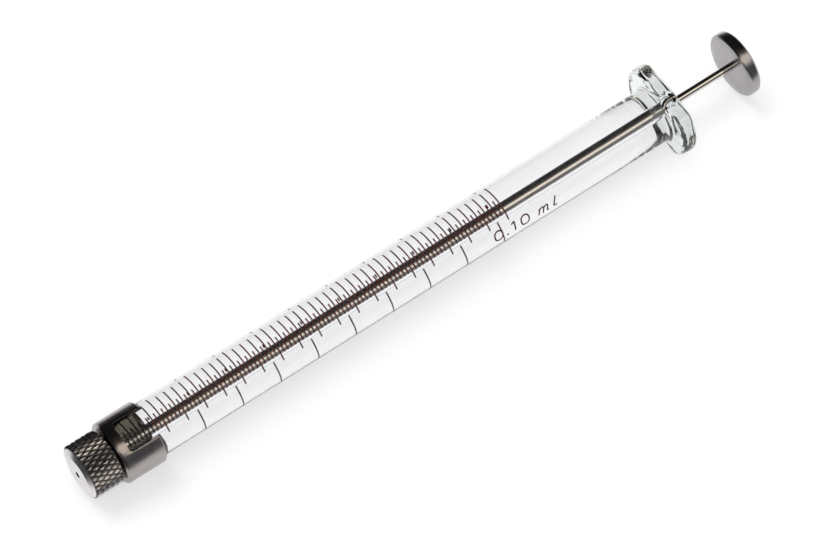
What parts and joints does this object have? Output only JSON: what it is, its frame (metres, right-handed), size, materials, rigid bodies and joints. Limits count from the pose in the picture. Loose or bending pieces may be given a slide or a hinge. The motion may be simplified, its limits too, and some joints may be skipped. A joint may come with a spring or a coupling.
{
  "type": "microsyringe",
  "caption": "Glass microsyringe with fine graduations, a windowed metal hub, a knurled needle nut, a finger flange and a thin steel plunger with a round button.",
  "frame": {"origin": "centre of the needle hole at the nose face of the nut, on the syringe's axis", "axes": "+X along the axis from the nose to the plunger button, +Z normal to the flats of the finger flange, the syringe lying on its side"},
  "size_m": [0.1069, 0.0132, 0.0094],
  "materials": {
    "glass": "clear",
    "enamel": "fired print",
    "hub_metal": "turned",
    "nut_metal": "knurled",
    "seal_plastic": "matte",
    "tip_steel": "ground",
    "rod_steel": "ground",
    "button_steel": "turned"
  },
  "bodies": {
    "glass_body": {"barrel": "glass", "scale_lines": "enamel", "hub": "hub_metal"},
    "seal_body": {"needle_seal": "seal_plastic"},
    "nut_body": {"needle_nut": "nut_metal"},
    "tip_body": {"plunger_tip": "tip_steel"},
    "plunger_body": {"plunger_rod": "rod_steel", "plunger_button": "button_steel"}
  },
  "joints": [
    {"name": "seal_slide", "type": "slide", "parent": "glass_body", "child": "seal_body", "axis": [-1, 0, 0], "range_m": [0, 0.00325]},
    {"name": "nut_turn", "type": "hinge", "parent": "seal_body", "child": "nut_body", "pos_m": [0, 0, 0], "axis": [-1, 0, 0], "range_deg": [0, 2340]},
    {"name": "plunger_slide", "type": "slide", "parent": "glass_body", "child": "tip_body", "axis": [1, 0, 0], "range_m": [0, 0.06]},
    {"name": "plunger_turn", "type": "hinge", "parent": "tip_body", "child": "plunger_body", "pos_m": [0.1, 0, 0], "axis": [1, 0, 0], "continuous": true}
  ],
  "couplings": [
    {"joint": "nut_turn", "follows": "seal_slide", "rad_per_m": 12566}
  ]
}
